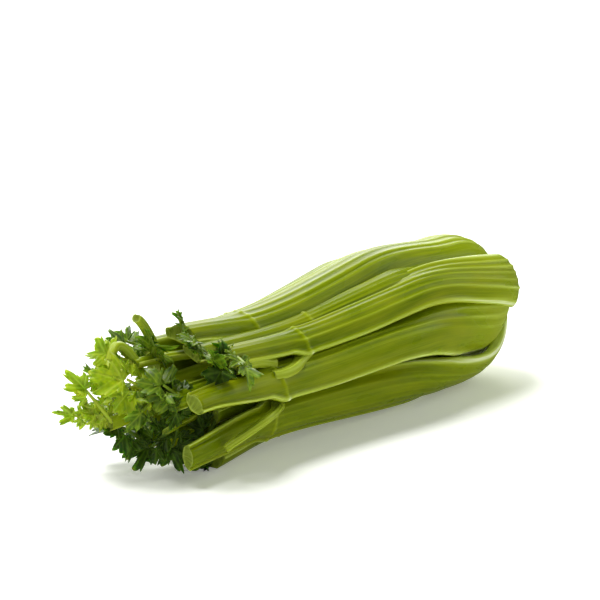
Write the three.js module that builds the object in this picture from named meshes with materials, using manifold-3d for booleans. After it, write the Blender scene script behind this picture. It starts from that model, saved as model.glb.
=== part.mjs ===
// A head of celery, trimmed and lying on its side, in millimetres with +Z up.
// It is one short stem, the butt, with leaf stalks set round it in a spiral. Each stalk is a
// gutter: broad and thin where it clasps the butt, narrow and thick at its middle, jointed at a
// node where its side stems leave, and cut off beyond it. Small leaves stand between the cut ends.
//
// Head coordinates: s is the distance from the butt's cut face along the head's axis, r is the
// distance from that axis, and an angle of 0 faces -Y, 90 faces up and 180 faces +Y. The butt is
// at the +X end, and the leaves are at the -X end.
import * as THREE from "three";
import { mergeVertices } from "three/addons/utils/BufferGeometryUtils.js";
import Module from "manifold-3d";

const wasm = await Module();
wasm.setup();

// ---- driving dimensions ----
const DIVERGENCE = 137.5; // degrees from each stalk to the next one in
const FIRST_ANGLE = 23; // where the outermost stalk sits on the butt
const STALKS_PER_LAYER = 3; // stalks that clasp the butt side by side
const LAYER_STEP = 6.6; // a layer's depth at the bulge
const LAYER_RISE = 5.6; // how much further up the butt each layer starts
const BUTT_RADIUS = 26;
const BUTT_INSET = 3.3; // from the outermost stalks' backs to the butt's own edge
const BUTT_STEP = 3.9; // how much narrower the butt gets at each layer
const LAYERS = 6;
const BULGE_RADIUS = 50;
const BULGE_AT = 52;
const BASE_HALF = 23; // half a stalk's width there
const SHOULDER_END = 74; // the head keeps its full girth up to here
const WAIST_RADIUS = 35.5;
const WAIST_AT = 240;
const MOUTH_RADIUS = 39.5; // where the cut ends open out
const MOUTH_AT = 330;
const DROOP = 0.05; // the axis sinks by this share of s towards the leaves
const SWIRL = 9; // how far the stalks turn round the head towards their cut ends, in degrees
const FLOOR = -49.2; // the surface under the head, measured from the axis at the butt
const BASE_SLOPE = 22; // where on its quarter ellipse the outermost stalk starts, in degrees
const BASE_SLOPE_STEP = 9; // and how much further round each layer in
const BASE_STEP = 3.2; // how much nearer the axis each layer starts
const GAP = 0.35; // between pieces that touch
const STEM_HALF = 1.3; // half the width of a leaf's stem
const BARE_STEM = 2.8; // the radius of a side stem with no blade

const radians = THREE.MathUtils.degToRad;
const mix = THREE.MathUtils.lerp;
const smooth = (from, to, x) => THREE.MathUtils.smoothstep(x, from, to);

// ---- the stalks, from the outermost in; phase follows from the order ----
// middle: angle at mid-length. depth: how far inside the girth it lies there. half: half its
// width there. base: half its width at the bulge. twist: how far its ribbed back is turned.
// node, end: s of its joint and of its cut. flare: how far its cut end leans out.
// sides: the side stems that leave at its node.
const STALKS = [
  { name: "stalk_front_upper", middle: 43, depth: 0, half: 13, base: 16, twist: -18,
    node: 213, end: 268, flare: 2,
    sides: [{ to: -1, length: 34, spread: 7, rise: 3, radius: 3.8 }] },
  { name: "stalk_far_upper", middle: 160, depth: 0.5, half: 14.5, base: 19, node: 215, end: 270,
    sides: [{ to: 1, length: 40, spread: 9, rise: 3, radius: 3.4 }] },
  { name: "stalk_front_lower", middle: -39, depth: -0.5, half: 16.5, base: 24, twist: -24,
    node: 232, end: 304,
    sides: [{ to: 1, length: 58, spread: 15, rise: 7, radius: 2.9 },
      { to: -1, length: 34, spread: 5.5, rise: 4, radius: 2.8 }] },
  { name: "stalk_top", middle: 82, depth: -1.5, half: 17, base: 22, twist: 14,
    node: 232, end: 278, flare: 3 },
  { name: "stalk_far_lower", middle: -124, depth: 0.5, half: 14.5, node: 220, end: 278,
    sides: [{ to: -1, length: 36, spread: 8, rise: 3, radius: 3.4 }] },
  { name: "stalk_front_middle", middle: 6, depth: 0, half: 15.5, base: 25, twist: -34,
    node: 240, end: 306,
    sides: [{ to: 1, length: 30, spread: 5, rise: 2, radius: 3.2 }] },
  { name: "stalk_top_far", middle: 120, depth: 0, half: 14.5, node: 222, end: 286, flare: 2,
    sides: [{ to: 1, length: 38, spread: 8, rise: 4, radius: 3.4 }] },
  { name: "stalk_underside", middle: -78, depth: 0.5, half: 14.5, node: 214, end: 270, flare: 3 },
  { name: "stalk_upper_inner", middle: 58, depth: 2.5, half: 10.5, node: 197, end: 287, flare: 2,
    sides: [{ to: 1, length: 52, spread: 4, rise: 1, radius: 3 }] },
  { name: "stalk_far_middle", middle: -163, depth: 1.5, half: 13, node: 215, end: 276 },
  { name: "inner_stalk_lower", middle: -46, depth: 16.5, half: 9, node: 206, end: 268, flare: -2 },
  { name: "inner_stalk_top", middle: 99, depth: 16, half: 9, node: 200, end: 308, flare: 8 },
  { name: "inner_stalk_far", middle: -131, depth: 16, half: 9, node: 205, end: 300, flare: 1 },
  { name: "inner_stalk_front", middle: 26, depth: 16.5, half: 8.5, node: 210, end: 300, flare: -2 },
  { name: "inner_stalk_back", middle: 156, depth: 16.5, half: 8.5, node: 196, end: 298, flare: 2 },
  { name: "heart_stalk_lower", middle: -64, depth: 27, half: 5.4, node: 180, end: 298, flare: 1 },
  { name: "heart_stalk_upper", middle: 60, depth: 27, half: 5.4, node: 184, end: 310, flare: 3 },
  { name: "heart_stalk_far", middle: 178, depth: 27.5, half: 5, node: 176, end: 322, flare: 1 },
];

// ---- the leaves and loose side stems ----
// on, back: the stalk it grows from and how far short of that stalk's cut end. tip: its far end
// as [s, angle, r]. width: across the blade, or 0 for a bare stem. stem: the share of its length
// that is stem. bow: how far its midrib arches away from the axis. roll: the blade's turn about it.
const LEAVES = [
  { name: "leaf_large_bright", on: "heart_stalk_upper", back: 2, tip: [335, 114, 33], width: 32,
    stem: 0.25, bow: 4, roll: -62 },
  { name: "leaf_upper_tip", on: "inner_stalk_top", back: 2, tip: [331, 117, 44], width: 20,
    stem: 0.4, bow: 1, roll: -50 },
  { name: "leaf_curled", on: "heart_stalk_far", back: 2, tip: [337, 131, 38], width: 17,
    stem: 0.4, bow: 5, roll: -70 },
  { name: "leaf_curled_low", on: "heart_stalk_far", back: 4, tip: [336, 160, 24], width: 12,
    stem: 0.4, bow: 2, roll: -60 },
  { name: "leaf_thin", on: "heart_stalk_far", back: 3, tip: [342, 171, 37], width: 11,
    stem: 0.45, bow: 2, roll: -80 },
  { name: "leaf_dark_tip", on: "inner_stalk_far", back: 2, tip: [329, 172, 22], width: 22,
    stem: 0.35, bow: -4, roll: -60 },
  { name: "leaf_heart_tip", on: "heart_stalk_upper", back: 3, tip: [330, -20, 7], width: 18,
    stem: 0.3, bow: 2, roll: -70 },
  { name: "leaf_middle", on: "inner_stalk_front", back: 2, tip: [320, 84, 25], width: 24,
    stem: 0.25, bow: 4, roll: -55 },
  { name: "leaf_cluster", on: "inner_stalk_top", back: 16, tip: [309, 78, 44], width: 22,
    stem: 0.3, bow: 2, roll: -45 },
  { name: "leaf_over_front", on: "stalk_upper_inner", back: 2, tip: [286, 27, 50], width: 22,
    stem: 0.2, bow: 4, roll: -35 },
  { name: "leaf_star", on: "stalk_front_upper", back: 3, tip: [279, 20, 54], width: 15,
    stem: 0.3, bow: 3, roll: -30 },
  { name: "leaf_pale", on: "stalk_upper_inner", back: 6, tip: [298, 68, 48], width: 18,
    stem: 0.25, bow: 3, roll: -30 },
  { name: "leaf_fan", on: "stalk_top", back: 2, tip: [290, 82, 55], width: 14,
    stem: 0.6, bow: -3, roll: -60 },
  { name: "leaf_low_first", on: "heart_stalk_lower", back: 2, tip: [306, -124, 35], width: 24,
    stem: 0.25, bow: 3, roll: -70 },
  { name: "leaf_low_second", on: "heart_stalk_lower", back: 8, tip: [297, -92, 34], width: 24,
    stem: 0.2, bow: 3, roll: -95 },
  { name: "leaf_low_third", on: "inner_stalk_lower", back: 2, tip: [292, -80, 34], width: 24,
    stem: 0.2, bow: 3, roll: -75 },
  { name: "leaf_under_front", on: "stalk_underside", back: 2, tip: [284, -80, 36], width: 20,
    stem: 0.2, bow: 0, roll: -100 },
  { name: "leaf_gap", on: "inner_stalk_front", back: 8, tip: [308, 92, 18], width: 22,
    stem: 0.2, bow: -3, roll: -70 },
  { name: "leaf_inner_middle", on: "stalk_front_upper", back: 6, tip: [298, 20, 31], width: 22,
    stem: 0.15, bow: -3, roll: -60 },
  { name: "leaf_inner_low", on: "inner_stalk_front", back: 3, tip: [305, -36, 15], width: 24,
    stem: 0.2, bow: 2, roll: -70 },
  { name: "leaf_far_upper", on: "inner_stalk_back", back: 2, tip: [322, 146, 43], width: 24,
    stem: 0.35, bow: 4, roll: 10 },
  { name: "leaf_far_lower", on: "stalk_far_middle", back: 2, tip: [312, -156, 43], width: 22,
    stem: 0.3, bow: 3, roll: -20 },
  { name: "leaf_far_middle", on: "inner_stalk_back", back: 4, tip: [328, 186, 33], width: 24,
    stem: 0.35, bow: 4, roll: 15 },
  { name: "leaf_far_top", on: "stalk_top_far", back: 2, tip: [313, 126, 46], width: 20,
    stem: 0.25, bow: 3, roll: -30 },
  { name: "side_stem_forked", on: "inner_stalk_top", back: 20, tip: [303, 101, 51], width: 0,
    stem: 1, bow: 4, roll: 0 },
  { name: "side_stem_bent", on: "inner_stalk_top", back: 4, tip: [320, 112, 33], width: 0,
    stem: 1, bow: 9, roll: 0 },
];

const OUTER_STALKS = 10; // the first ones in the list, which show; the rest stand inside them
const STALK_SAG = 1.35; // how much wider than its curve's radius a stalk may be
const COLOURS = { butt: 0xe4e6bd, stalk: 0x8ea81f, inner: 0xb3c552, leaf: 0x8fae1c };

const layerOf = (k) => Math.floor(k / STALKS_PER_LAYER);
const phaseOf = (k) => THREE.MathUtils.euclideanModulo(FIRST_ANGLE + DIVERGENCE * k + 180, 360) - 180;
const turn = (from, to) => THREE.MathUtils.euclideanModulo(to - from + 180, 360) - 180;

const girth = (s) =>
  mix(BULGE_RADIUS, WAIST_RADIUS, smooth(SHOULDER_END, WAIST_AT, s)) +
  (MOUTH_RADIUS - WAIST_RADIUS) * smooth(WAIST_AT, MOUTH_AT, s);

// A point of the head's space as row coordinates, before the whole is centred.
function place(s, r, angle, across = 0) {
  const y = -r * Math.cos(angle) + across * Math.sin(angle);
  const z = r * Math.sin(angle) + across * Math.cos(angle);
  return new THREE.Vector3(-s, y, z - DROOP * s);
}

// The line of a stalk's back: a quarter ellipse from the butt to the bulge, then the girth of
// the head less the stalk's depth in it. A station is {s, r, angle}.
function backLine(k, baseSteps, steps) {
  const stalk = STALKS[k];
  const layer = layerOf(k);
  const startAngle = radians(BASE_SLOPE + BASE_SLOPE_STEP * layer);
  const r0 = BUTT_RADIUS - BASE_STEP * layer;
  const r1 = BULGE_RADIUS - LAYER_STEP * layer;
  const s0 = 1 + LAYER_RISE * layer;
  const line = [];
  for (let i = 0; i < baseSteps; i++) {
    const a = mix(startAngle, Math.PI / 2, i / baseSteps);
    line.push({
      s: s0 + ((BULGE_AT - s0) * (Math.cos(startAngle) - Math.cos(a))) / Math.cos(startAngle),
      r: r1 - ((r1 - r0) * (1 - Math.sin(a))) / (1 - Math.sin(startAngle)),
    });
  }
  const marks = [];
  for (let i = 0; i <= steps; i++) marks.push(mix(BULGE_AT, stalk.node - 4, i / steps));
  marks.push(stalk.node, stalk.node + 5, mix(stalk.node + 5, stalk.end, 0.5), stalk.end);
  for (const s of marks) {
    const depth = mix(LAYER_STEP * layer, stalk.depth, smooth(BULGE_AT, 135, s));
    const flare = (stalk.flare ?? 0) * smooth(stalk.node - 15, stalk.end, s);
    line.push({ s, r: girth(s) - depth + flare });
  }
  const bend = turn(phaseOf(k), stalk.middle);
  for (const p of line) {
    p.angle = radians(phaseOf(k) + bend * smooth(10, 120, p.s) + SWIRL * smooth(190, 300, p.s));
  }
  return line;
}

// A stalk's section at s: half its width round the curve, its thickness, and the curve's radius.
function sectionAt(k, s) {
  const { half, base = BASE_HALF, node } = STALKS[k];
  const layer = layerOf(k);
  const atButt = Math.min(14.5 - 0.8 * layer, half);
  const atBulge = Math.min(base, 0.95 * (BULGE_RADIUS - LAYER_STEP * layer));
  let width = mix(atButt, atBulge, Math.min(s / BULGE_AT, 1) ** 0.8);
  width = mix(width, half, smooth(48, 150, s));
  width *= 1 - 0.1 * smooth(150, node, s);
  width *= 1 + 0.06 * smooth(node - 8, node, s) - 0.3 * smooth(node - 1, node + 12, s);
  const thick = Math.min(half * 0.56, 8.6);
  let thickness = mix(4.6, 6.2, smooth(0, 50, s));
  thickness = mix(thickness, thick, smooth(50, 150, s)) * (1 + 0.1 * smooth(node - 4, node + 3, s));
  let curve = mix(30 - 3 * layer, half * 1.05, smooth(45, 150, s));
  curve = mix(curve, half * 0.78, smooth(node, node + 15, s));
  return { width, thickness, curve: Math.max(curve, width / STALK_SAG) };
}

// The outline of a section, round once, as [across, outwards] with the back's middle at 0.
function outline({ width, thickness, curve }, count, grow) {
  const points = [];
  for (let j = 0; j < count; j++) {
    const a = (2 * Math.PI * j) / count;
    const u = Math.cos(a);
    const side = Math.sign(Math.sin(a)) * Math.abs(Math.sin(a)) ** 0.55;
    const psi = (u * (width + grow)) / curve;
    const rad = curve + side * ((thickness / 2) * (1 - 0.35 * u * u) + grow);
    points.push([rad * Math.sin(psi), rad * Math.cos(psi) - curve - thickness / 2]);
  }
  return points;
}

// Closes rings of points into a solid, with a flat fan at each end.
function skin(rings) {
  const count = rings[0].length;
  const points = rings.flat();
  const faces = [];
  for (let i = 0; i + 1 < rings.length; i++) {
    for (let j = 0; j < count; j++) {
      const a = i * count + j;
      const b = i * count + ((j + 1) % count);
      faces.push(a, b, a + count, b, b + count, a + count);
    }
  }
  const last = (rings.length - 1) * count;
  for (const [ring, first] of [[rings[0], 0], [rings.at(-1), last]]) {
    const middle = new THREE.Vector3();
    for (const p of ring) middle.add(p);
    points.push(middle.divideScalar(count));
    for (let j = 0; j < count; j++) {
      const a = first + j;
      const b = first + ((j + 1) % count);
      if (first === 0) faces.push(points.length - 1, b, a);
      else faces.push(points.length - 1, a, b);
    }
  }
  return toSolid(points, faces);
}

function toSolid(points, faces) {
  const geometry = new THREE.BufferGeometry().setFromPoints(points);
  geometry.setIndex(faces);
  const merged = mergeVertices(geometry, 1e-3);
  const made = new wasm.Manifold(
    new wasm.Mesh({
      numProp: 3,
      vertProperties: merged.attributes.position.array,
      triVerts: new Uint32Array(merged.index.array),
    }),
  );
  if (made.volume() > 0) return made;
  for (let i = 0; i < faces.length; i += 3) [faces[i], faces[i + 1]] = [faces[i + 1], faces[i]];
  return toSolid(points, faces);
}

// A station of a back line with the line's direction there, as its shares along s and along r.
function stationFrame(line, i) {
  const before = line[Math.max(i - 1, 0)];
  const after = line[Math.min(i + 1, line.length - 1)];
  const length = Math.hypot(after.s - before.s, after.r - before.r);
  return { ts: (after.s - before.s) / length, tr: (after.r - before.r) / length, ...line[i] };
}

function stalkRings(k, grow = 0) {
  const outer = k < OUTER_STALKS;
  const line = backLine(k, outer ? 4 : 3, outer ? 8 : 5);
  const count = outer ? 12 : 10;
  const twist = radians(STALKS[k].twist ?? 0);
  return line.map((station, i) => {
    const { s, r, angle, ts, tr } = stationFrame(line, i);
    const reach = i === 0 ? -grow : i === line.length - 1 ? grow : 0;
    const section = sectionAt(k, s);
    const turned = twist * smooth(60, 150, s);
    const middle = -section.thickness / 2;
    return outline(section, count, grow).map(([across, out]) => {
      const w = across * Math.cos(turned) - (out - middle) * Math.sin(turned);
      const o = across * Math.sin(turned) + (out - middle) * Math.cos(turned) + middle;
      return place(s + reach - o * tr, r + o * ts, angle, w);
    });
  });
}

// A round stem along a curve of points, thinning from one radius to another.
function stem(curve, from, to, grow, steps = 5, count = 8) {
  const rings = [];
  const side = new THREE.Vector3();
  for (let i = 0; i <= steps; i++) {
    const along = curve.getTangent(i / steps);
    side.set(0, 0, 1).cross(along).normalize();
    const up = along.clone().cross(side);
    const radius = mix(from, to, i / steps) + grow;
    const centre = curve.getPoint(i / steps);
    const ring = [];
    for (let j = 0; j < count; j++) {
      const a = (2 * Math.PI * j) / count;
      ring.push(centre.clone().addScaledVector(side, radius * Math.cos(a))
        .addScaledVector(up, radius * Math.sin(a)));
    }
    rings.push(ring);
  }
  return skin(rings);
}

// A side stem's line: it leaves the node inside the stalk's margin and bows outwards.
function sideLine(k, { to, length, spread, rise }) {
  const { node, middle, depth, half } = STALKS[k];
  const r = girth(node) - depth - 5;
  const points = [0, 0.25, 0.5, 0.75, 1].map((t) => {
    const bow = Math.sin(t * 2.2);
    const across = to * (half * 0.62 + spread * bow);
    return place(node - 3 + length * t, r - 3 + rise * bow, radians(middle), across);
  });
  return new THREE.CatmullRomCurve3(points);
}

function stalkSolid(k, grow = 0) {
  let made = skin(stalkRings(k, grow));
  for (const side of STALKS[k].sides ?? []) {
    made = made.add(stem(sideLine(k, side), side.radius, 0.85 * side.radius, grow));
  }
  return made;
}

// The butt: the short cone of stem that every stalk grows from, stepped in at each layer of
// stalks and cut flat across.
function buttSolid() {
  const profile = [new THREE.Vector2(0, 0)];
  for (let layer = 0; layer < LAYERS; layer++) {
    const r = BUTT_RADIUS - BUTT_INSET - BUTT_STEP * layer;
    const s = LAYER_RISE * layer;
    profile.push(new THREE.Vector2(r, s === 0 ? 0 : s + 0.6));
    profile.push(new THREE.Vector2(r, s + LAYER_RISE - 1));
  }
  profile.push(new THREE.Vector2(0, LAYERS * LAYER_RISE));
  const lathe = new THREE.LatheGeometry(profile, 24);
  lathe.rotateZ(Math.PI / 2);
  const places = lathe.attributes.position;
  const corners = [];
  for (let i = 0; i < places.count; i++) {
    const p = new THREE.Vector3().fromBufferAttribute(places, i);
    corners.push(p.setZ(p.z + DROOP * p.x));
  }
  return toSolid(corners, [...lathe.index.array]);
}

// A leaf's midrib: a quadratic curve from inside its stalk's cut end to its tip, arched away from
// the head's axis.
function midrib({ on, back, tip, bow }) {
  const k = STALKS.findIndex((stalk) => stalk.name === on);
  const end = backLine(k, 1, 1).at(-1);
  const start = place(end.s - back, end.r - sectionAt(k, end.s).thickness / 2, end.angle);
  const far = place(tip[0], tip[2], radians(tip[1]));
  const middle = start.clone().lerp(far, 0.5);
  const away = new THREE.Vector3(0, middle.y, middle.z - DROOP * middle.x).normalize();
  return new THREE.QuadraticBezierCurve3(start, middle.addScaledVector(away, 2 * bow), far);
}

// Half the width of a leaf at t along it: a stem, then a blade of three pairs of lobes.
function halfWidth({ width, stem: share }, t) {
  if (t < share) return STEM_HALF;
  const blade = (t - share) / (1 - share);
  const lobes = 0.8 - 0.2 * Math.cos(6 * Math.PI * blade);
  return STEM_HALF * (1 - blade) + 0.5 * width * lobes * Math.sin(Math.PI * blade ** 0.8) ** 0.7;
}

function leafSolid(leaf, grow = 0) {
  const curve = midrib(leaf);
  if (leaf.width === 0) return stem(curve, BARE_STEM, 0.85 * BARE_STEM, grow, 4, 7);
  const rings = [];
  const stations = [0, 0.17, 0.33, 0.5, 0.67, 0.83, 1].map((t) => mix(leaf.stem, 1, t));
  for (const t of [0, leaf.stem / 2, ...stations]) {
    const along = curve.getTangent(t);
    const across = new THREE.Vector3(0, 0, 1).cross(along).normalize();
    across.applyAxisAngle(along, radians(leaf.roll));
    const up = along.clone().cross(across);
    const half = Math.max(halfWidth(leaf, t), 0.6) + grow;
    const thick = mix(1, 0.45, smooth(0, leaf.stem + 0.2, t)) + grow;
    const edge = Math.min(thick, 0.45 + grow);
    const cup = 0.22 * half;
    const at = (w, o) => curve.getPoint(t).addScaledVector(across, w).addScaledVector(up, o);
    rings.push([at(-half, cup + edge), at(0, thick), at(half, cup + edge),
      at(half, cup - edge), at(0, -thick), at(-half, cup - edge)]);
  }
  return skin(rings);
}

const group = new THREE.Group();

// The surface that the head lies on, as a slab below it: what would sink in is pressed flat.
const slab = new THREE.BoxGeometry(800, 400, 100).translate(0, 0, FLOOR - 50);
const slabCorners = [];
for (let i = 0; i < slab.attributes.position.count; i++) {
  slabCorners.push(new THREE.Vector3().fromBufferAttribute(slab.attributes.position, i));
}
const surface = toSolid(slabCorners, [...slab.index.array]);

function addMesh(name, solid, colour) {
  const whole = solid.subtract(surface).simplify(0.1).decompose();
  const pieces = whole.sort((a, b) => b.volume() - a.volume());
  const mesh = pieces[0].getMesh();
  const geometry = new THREE.BufferGeometry();
  geometry.setAttribute("position", new THREE.BufferAttribute(mesh.vertProperties, 3));
  geometry.setIndex(new THREE.BufferAttribute(mesh.triVerts, 1));
  const flat = geometry.toNonIndexed();
  flat.computeVertexNormals();
  const material = new THREE.MeshStandardMaterial({ color: colour, roughness: 0.45, metalness: 0 });
  const made = new THREE.Mesh(flat, material);
  made.name = name;
  group.add(made);
}

const keepClear = [];
STALKS.forEach((stalk, k) => {
  let solid = stalkSolid(k);
  for (const other of keepClear) solid = solid.subtract(other);
  keepClear.push(stalkSolid(k, GAP));
  addMesh(stalk.name, solid, k < OUTER_STALKS ? COLOURS.stalk : COLOURS.inner);
});
for (const leaf of LEAVES) {
  let solid = leafSolid(leaf);
  for (const other of keepClear) solid = solid.subtract(other);
  keepClear.push(leafSolid(leaf, GAP));
  addMesh(leaf.name, solid, COLOURS.leaf);
}
addMesh("butt", buttSolid(), COLOURS.butt);

const box = new THREE.Box3().setFromObject(group);
group.position.set(-(box.min.x + box.max.x) / 2, -(box.min.y + box.max.y) / 2, -box.min.z);

export default group;
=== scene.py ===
import bmesh
import bpy
import numpy as np
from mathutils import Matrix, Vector


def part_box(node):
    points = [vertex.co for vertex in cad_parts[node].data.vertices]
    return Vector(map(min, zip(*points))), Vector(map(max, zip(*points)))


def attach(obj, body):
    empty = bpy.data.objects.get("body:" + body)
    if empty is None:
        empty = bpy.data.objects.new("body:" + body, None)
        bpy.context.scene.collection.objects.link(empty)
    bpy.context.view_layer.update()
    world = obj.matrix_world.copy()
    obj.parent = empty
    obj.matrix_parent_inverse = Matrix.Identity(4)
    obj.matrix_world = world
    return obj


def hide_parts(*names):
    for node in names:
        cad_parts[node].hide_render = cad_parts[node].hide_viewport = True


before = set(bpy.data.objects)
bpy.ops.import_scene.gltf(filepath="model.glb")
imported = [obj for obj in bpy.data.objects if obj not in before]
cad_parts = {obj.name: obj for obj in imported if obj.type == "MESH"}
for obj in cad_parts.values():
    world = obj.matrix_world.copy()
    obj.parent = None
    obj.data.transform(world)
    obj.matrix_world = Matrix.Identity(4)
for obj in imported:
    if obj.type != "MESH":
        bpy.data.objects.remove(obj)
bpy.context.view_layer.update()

# Shapes are worked out in millimetres of head coordinates and turned to the frame's metres at the end.
# s is the distance from the butt's cut face along the head's axis, r the distance from that axis,
# and an angle of 0 faces -Y, 90 faces up and 180 faces +Y.
head = {
    "divergence": 137.5,  # degrees from each stalk to the next one in
    "firstAngle": 23,
    "stalksPerLayer": 3,
    "layerStep": 6.6,  # a layer's depth at the bulge
    "layerRise": 5.6,  # how much further up the butt each layer starts
    "layers": 6,
    "outerStalks": 10,  # the rest are paler and hidden but for their cut ends
    "buttRadius": 26,  # out to the outermost stalks' backs
    "buttInset": 3.3,  # from there in to the butt's own edge
    "buttStep": 3.9,  # how much narrower the butt gets at each layer
    "baseStep": 3.2,  # how much nearer the axis each layer of stalks starts
    "baseSlope": 22,  # where on its quarter ellipse an outermost stalk starts, in degrees
    "baseSlopeStep": 9,  # and how much further round it each layer in
    "bulgeRadius": 50,
    "bulgeAt": 52,
    "shoulderEnd": 74,  # the head keeps its full girth up to here
    "waistRadius": 35.5,
    "waistAt": 240,
    "mouthRadius": 39.5,  # where the cut ends open out
    "mouthAt": 330,
    "droop": 0.05,  # the axis sinks by this share of s
    "swirl": 9,  # how far the stalks turn round the head towards their cut ends, in degrees
}
mm = 0.001


def smooth(start, end, x):
    # 0 before start, 1 after end, and the cubic 3t^2 - 2t^3 between them
    t = np.clip((x - start) / (end - start), 0, 1)
    return t * t * (3 - 2 * t)


def mix(a, b, t):
    return a + (b - a) * t


def bump(x, middle, width):
    # a bell curve of height 1
    return np.exp(-(((x - middle) / width) ** 2))


buttLow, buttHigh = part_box("butt")
buttEdge = head["buttRadius"] - head["buttInset"]
axisStart = np.array([buttHigh.x, (buttLow.y + buttHigh.y) / 2, buttHigh.z - buttEdge * mm])


def place(s, r, angle, across=0):
    # polar to straight: r outwards at angle, across along the circle's tangent, s back along -X
    y = -r * np.cos(angle) + across * np.sin(angle)
    z = r * np.sin(angle) + across * np.cos(angle) - head["droop"] * s
    return np.stack(np.broadcast_arrays(-s, y, z), axis=-1)


def toFrame(points):
    metres = points * mm + axisStart
    metres[..., 2] = np.maximum(metres[..., 2], 0)  # pressed flat where it lies on the surface
    return metres


def gridPart(points, marks):
    # a grid whose second way runs round and joins up: its corners, its four-sided faces and its marks
    rows, count = points.shape[:2]
    row, column = np.meshgrid(np.arange(rows - 1), np.arange(count), indexing="ij")
    nextColumn = (column + 1) % count
    faces = np.stack([row * count + column, row * count + nextColumn,
                      (row + 1) * count + nextColumn, (row + 1) * count + column], axis=-1)
    flatMarks = {key: np.broadcast_to(value, (rows, count)).ravel() for key, value in marks.items()}
    return points.reshape(-1, 3), faces.reshape(-1, 4), flatMarks


def makePiece(name, parts, material):
    # puts the parts into one mesh, with the marks as attributes of its corners, and closes seams and poles
    corners = toFrame(np.concatenate([p[0] for p in parts]))
    offsets = np.cumsum([0] + [len(p[0]) for p in parts[:-1]])
    faces = np.concatenate([p[1] + offset for p, offset in zip(parts, offsets)])
    mesh = bpy.data.meshes.new(name + "_look")
    mesh.vertices.add(len(corners))
    mesh.vertices.foreach_set("co", corners.astype(np.float32).ravel())
    mesh.loops.add(faces.size)
    mesh.loops.foreach_set("vertex_index", faces.astype(np.int32).ravel())
    mesh.polygons.add(len(faces))
    mesh.polygons.foreach_set("loop_start", (np.arange(len(faces)) * 4).astype(np.int32))
    mesh.update(calc_edges=True)
    for key in parts[0][2]:
        values = np.concatenate([p[2][key] for p in parts]).astype(np.float32)
        mesh.attributes.new(key, "FLOAT", "POINT").data.foreach_set("value", values)
    weld = 2e-6  # metres
    editable = bmesh.new()
    editable.from_mesh(mesh)
    bmesh.ops.remove_doubles(editable, verts=editable.verts, dist=weld)
    bmesh.ops.dissolve_degenerate(editable, dist=weld, edges=editable.edges)
    bmesh.ops.recalc_face_normals(editable, faces=editable.faces)
    editable.to_mesh(mesh)
    editable.free()
    mesh.shade_smooth()
    mesh.materials.append(material)
    piece = bpy.data.objects.new(name + "_look", mesh)
    bpy.context.scene.collection.objects.link(piece)
    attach(piece, "root")
    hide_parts(name)


def newMaterial(name):
    material = bpy.data.materials.new(name)
    material.use_nodes = True
    nodes = material.node_tree.nodes
    return material, nodes, material.node_tree.links, nodes["Principled BSDF"]


def readMark(nodes, name):
    node = nodes.new("ShaderNodeAttribute")
    node.attribute_name = name
    return node.outputs["Fac"]


def mathNode(nodes, links, operation, first, second=0.5, clamp=False):
    node = nodes.new("ShaderNodeMath")
    node.operation = operation
    node.use_clamp = clamp
    for socket, value in zip(node.inputs, (first, second)):
        if isinstance(value, (int, float)):
            socket.default_value = value
        else:
            links.new(value, socket)
    return node.outputs[0]


def mixColour(nodes, links, factor, first, second):
    node = nodes.new("ShaderNodeMix")
    node.data_type = "RGBA"
    sockets = (node.inputs["Factor"], node.inputs[6], node.inputs[7])  # 6 and 7 are its colour inputs
    for socket, value in zip(sockets, (factor, first, second)):
        if isinstance(value, (int, float)):
            socket.default_value = value
        elif isinstance(value, tuple):
            socket.default_value = (*value, 1)
        else:
            links.new(value, socket)
    return node.outputs[2]


def fibreNoise(nodes, links, scale, detail=3, roughness=0.55):
    # noise at (width mark, length mark, side mark) times the scale, so a small middle scale draws it out
    vector = nodes.new("ShaderNodeCombineXYZ")
    for socket, key, size in zip(vector.inputs, ("acrossMm", "alongMm", "sideMm"), scale):
        links.new(mathNode(nodes, links, "MULTIPLY", readMark(nodes, key), size), socket)
    noise = nodes.new("ShaderNodeTexNoise")
    noise.inputs["Scale"].default_value = 1
    noise.inputs["Detail"].default_value = detail
    noise.inputs["Roughness"].default_value = roughness
    links.new(vector.outputs[0], noise.inputs["Vector"])
    return noise.outputs["Fac"]


def rampNode(nodes, links, source, stops):
    # each stop is a position and a colour or a grey
    ramp = nodes.new("ShaderNodeValToRGB")
    while len(ramp.color_ramp.elements) < len(stops):
        ramp.color_ramp.elements.new(0.5)
    for element, (position, value) in zip(ramp.color_ramp.elements, stops):
        element.position = position
        element.color = (*value, 1) if isinstance(value, tuple) else (value, value, value, 1)
    links.new(source, ramp.inputs[0])
    return ramp.outputs[0]


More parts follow.
